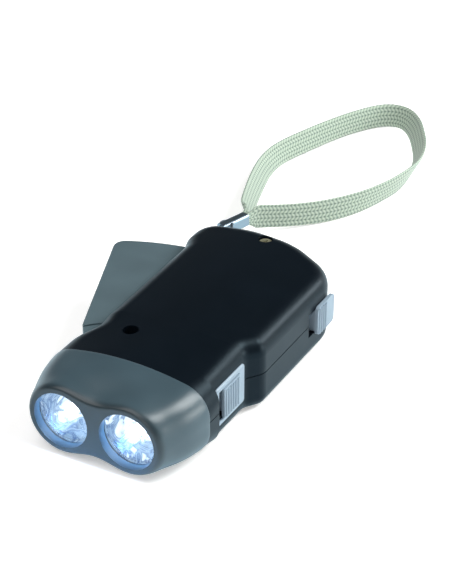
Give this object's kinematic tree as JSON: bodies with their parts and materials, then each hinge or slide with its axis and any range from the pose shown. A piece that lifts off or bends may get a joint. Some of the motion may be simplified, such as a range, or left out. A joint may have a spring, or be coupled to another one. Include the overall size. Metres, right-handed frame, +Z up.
{
  "type": "hand crank flashlight",
  "caption": "Palm-size dynamo torch: two-lobed lamp head, rounded case with a spring-loaded squeeze lever, sliding switch, lever lock and woven wrist strap.",
  "frame": {"origin": "On the flat that the torch rests on, half way along the case and lamp head, midway between the two lamps.", "axes": "+X across the case to the sliders (the lever is on -X), +Y from the lamps to the tail, +Z up through the crowned top."},
  "size_m": [0.0768, 0.2523, 0.0252],
  "materials": {
    "case": "satin black",
    "head": "satin grey",
    "lens": "clear",
    "reflector": "bright",
    "led": "clear",
    "board": "lacquered",
    "lever": "satin grey",
    "steel": "plain",
    "crimp_metal": "plain",
    "screw_brass": "plain",
    "gear": "plain",
    "magnet": "plain",
    "copper": "enamelled",
    "holder": "plain",
    "component": "plain",
    "slider": "satin pale grey",
    "strap": "woven"
  },
  "bodies": {
    "body": {"battery_holder": "holder", "button_cell_front": "steel", "button_cell_middle": "steel", "button_cell_rear": "steel", "cell_contact_front": "steel", "cell_contact_rear": "steel", "coil_bobbin": "gear", "coil_winding": "copper", "first_axle": "steel", "gear_plate": "steel", "housing_screw_front": "steel", "housing_screw_rear": "screw_brass", "lamp_carrier": "head", "lamp_head": "head", "led_board": "board", "led_left": "led", "led_right": "led", "lens_left": "lens", "lens_right": "lens", "lever_pin": "steel", "lever_spring": "steel", "lower_housing": "case", "main_board": "board", "plate_screw_front": "steel", "plate_screw_rear": "steel", "plate_screw_side": "steel", "rectifier_diode_a": "component", "rectifier_diode_b": "component", "rectifier_diode_c": "component", "rectifier_diode_d": "component", "reflector_left": "reflector", "reflector_right": "reflector", "rotor_bearing": "screw_brass", "second_axle": "steel", "slide_switch_body": "steel", "smoothing_capacitor": "component", "stator_core": "steel", "strap_anchor_pin": "steel", "strap_ferrule": "crimp_metal", "strap_link": "crimp_metal", "switch_frame": "slider", "upper_housing": "case", "wrist_strap": "strap"},
    "lever": {"squeeze_lever": "lever"},
    "first_gear": {"first_pinion": "gear", "first_wheel": "gear", "clutch_pawls": "gear"},
    "second_gear_body": {"second_gear": "gear"},
    "rotor": {"rotor_shaft": "steel", "rotor_pinion": "gear", "flywheel": "steel", "ring_magnet": "magnet"},
    "light_switch": {"light_switch_slider": "slider", "switch_actuator": "holder"},
    "lock": {"lock_slider": "slider"}
  },
  "joints": [
    {"name": "rotor_spin", "type": "hinge", "parent": "body", "child": "rotor", "pos_m": [0.01445, 0.02384, 0.0122], "axis": [0, 0, 1], "range_deg": [0, 1625]},
    {"name": "lever_squeeze", "type": "hinge", "parent": "body", "child": "lever", "pos_m": [-0.0155, -0.024, 0.0122], "axis": [0, 0, -1], "range_deg": [0, 21], "stiffness_Nm_per_rad": 1, "springref_deg": -22.92},
    {"name": "first_gear_spin", "type": "hinge", "parent": "body", "child": "first_gear", "pos_m": [0.00193, 0.01021, 0.0122], "axis": [0, 0, 1], "range_deg": [0, 181]},
    {"name": "second_gear_spin", "type": "hinge", "parent": "body", "child": "second_gear_body", "pos_m": [0.01584, 0.01394, 0.0122], "axis": [0, 0, -1], "range_deg": [0, 542.5]},
    {"name": "light_switch_slide", "type": "slide", "parent": "body", "child": "light_switch", "axis": [0, -1, 0], "range_m": [0, 0.0022]},
    {"name": "lock_slide", "type": "slide", "parent": "body", "child": "lock", "axis": [0, -1, 0], "range_m": [0, 0.004]}
  ],
  "couplings": [
    {"joint": "lever_squeeze", "follows": "rotor_spin", "ratio": 0.01292},
    {"joint": "first_gear_spin", "follows": "rotor_spin", "ratio": 0.11111},
    {"joint": "second_gear_spin", "follows": "rotor_spin", "ratio": 0.33333}
  ]
}
